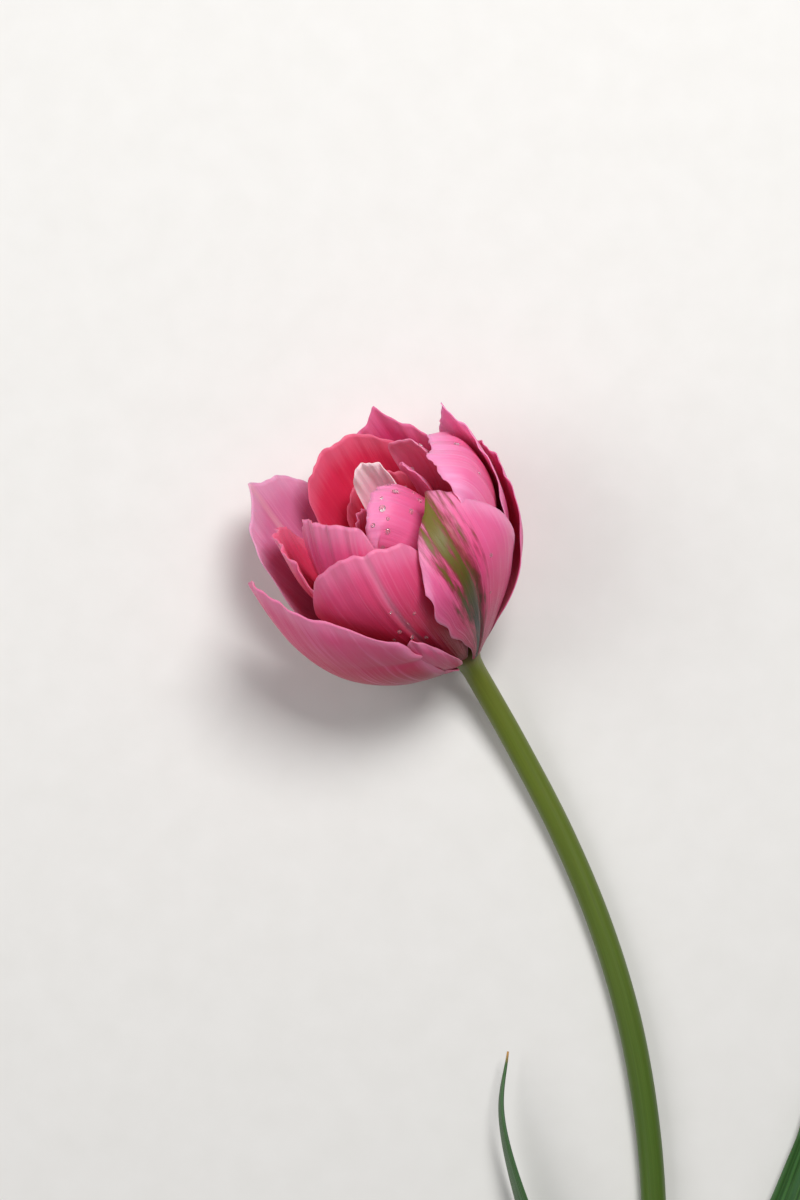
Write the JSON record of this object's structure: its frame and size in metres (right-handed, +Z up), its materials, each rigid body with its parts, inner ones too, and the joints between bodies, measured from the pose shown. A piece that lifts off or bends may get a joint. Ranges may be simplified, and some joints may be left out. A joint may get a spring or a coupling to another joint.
{
  "type": "tulip flower",
  "caption": "Cut double tulip lying on its side: cupped layered petals on a long curved stem with clasping leaves.",
  "frame": {"origin": "middle of the flower's footprint, on the surface it lies on", "axes": "+Z up from the surface, +Y along the flower from the stem's cut end towards the head, +X to the right of it seen from above"},
  "size_m": [0.1784, 0.3478, 0.0672],
  "materials": {
    "petal_flamed": "soft satin petal, pink with a green and brown flame along the midrib",
    "petal_outer": "soft satin petal, rose pink, paler at the edge and finely veined",
    "petal_inner": "soft satin petal, bright pink to deep red inside the cup",
    "pistil": "waxy yellow green",
    "stamen": "powdery dark purple",
    "stem": "smooth waxy green",
    "leaf": "waxy blue green with fine parallel veins"
  },
  "bodies": {
    "root": {"petal_outer_flamed": "petal_flamed", "petal_outer_left": "petal_outer", "petal_outer_right": "petal_outer", "petal_outer_back": "petal_outer", "petal_outer_back_left": "petal_outer", "petal_outer_back_right": "petal_outer", "petal_front_notched": "petal_outer", "petal_inner_right": "petal_inner", "petal_inner_back_left": "petal_inner", "petal_inner_front_left": "petal_inner", "petal_inner_left": "petal_inner", "petal_inner_back_right": "petal_inner", "petal_core_right": "petal_inner", "petal_core_back": "petal_inner", "petal_core_left": "petal_inner", "petal_core_front": "petal_inner", "petaloid_bright": "petal_inner", "petaloid_pale": "petal_inner", "pistil": "pistil", "stamen_1": "stamen", "stamen_2": "stamen", "stamen_3": "stamen", "stamen_4": "stamen", "stamen_5": "stamen", "stamen_6": "stamen", "stem": "stem", "leaf_left": "leaf", "leaf_right": "leaf"}
  },
  "joints": []
}
